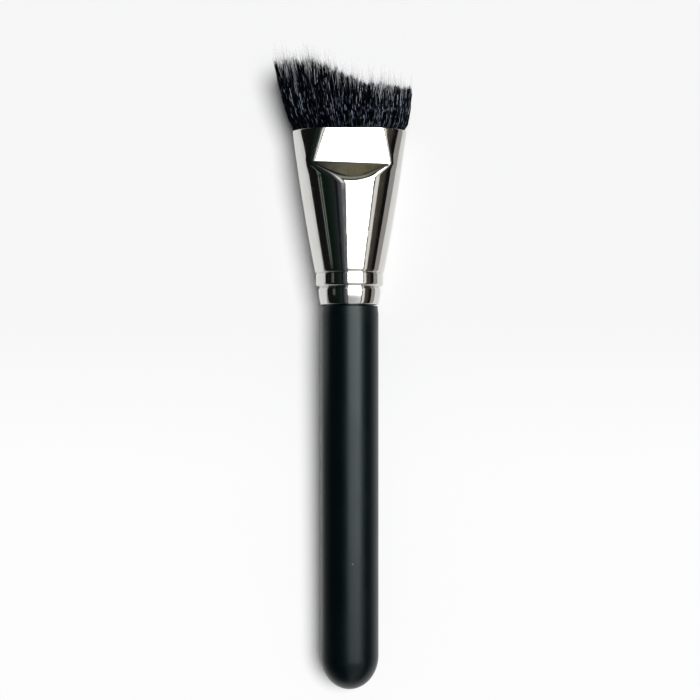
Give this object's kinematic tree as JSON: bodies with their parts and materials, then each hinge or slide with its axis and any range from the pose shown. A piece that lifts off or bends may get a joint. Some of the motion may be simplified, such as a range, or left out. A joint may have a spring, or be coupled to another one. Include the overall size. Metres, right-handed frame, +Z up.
{
  "type": "sculpting brush",
  "caption": "Makeup sculpting brush lying on its broad side: round black handle, polished flattened metal ferrule and a slanted curved-cut head of short black and longer white fibres.",
  "frame": {"origin": "on the surface that the brush lies on, under the middle of its footprint", "axes": "+Y along the brush towards the fibre tips, +Z up out of the pressed panel that faces up, +X across the broad side towards the short side of the head"},
  "size_m": [0.035, 0.175, 0.0214],
  "materials": {
    "handle_lacquer": "satin",
    "ferrule_metal": "polished",
    "glue": "satin",
    "epoxy": "satin",
    "black_fibre": "satin",
    "white_fibre": "satin"
  },
  "bodies": {
    "root": {"handle": "handle_lacquer", "ferrule": "ferrule_metal", "handle_glue": "glue", "fibre_epoxy": "epoxy", "black_fibres": "black_fibre", "white_fibres": "white_fibre"}
  },
  "joints": []
}
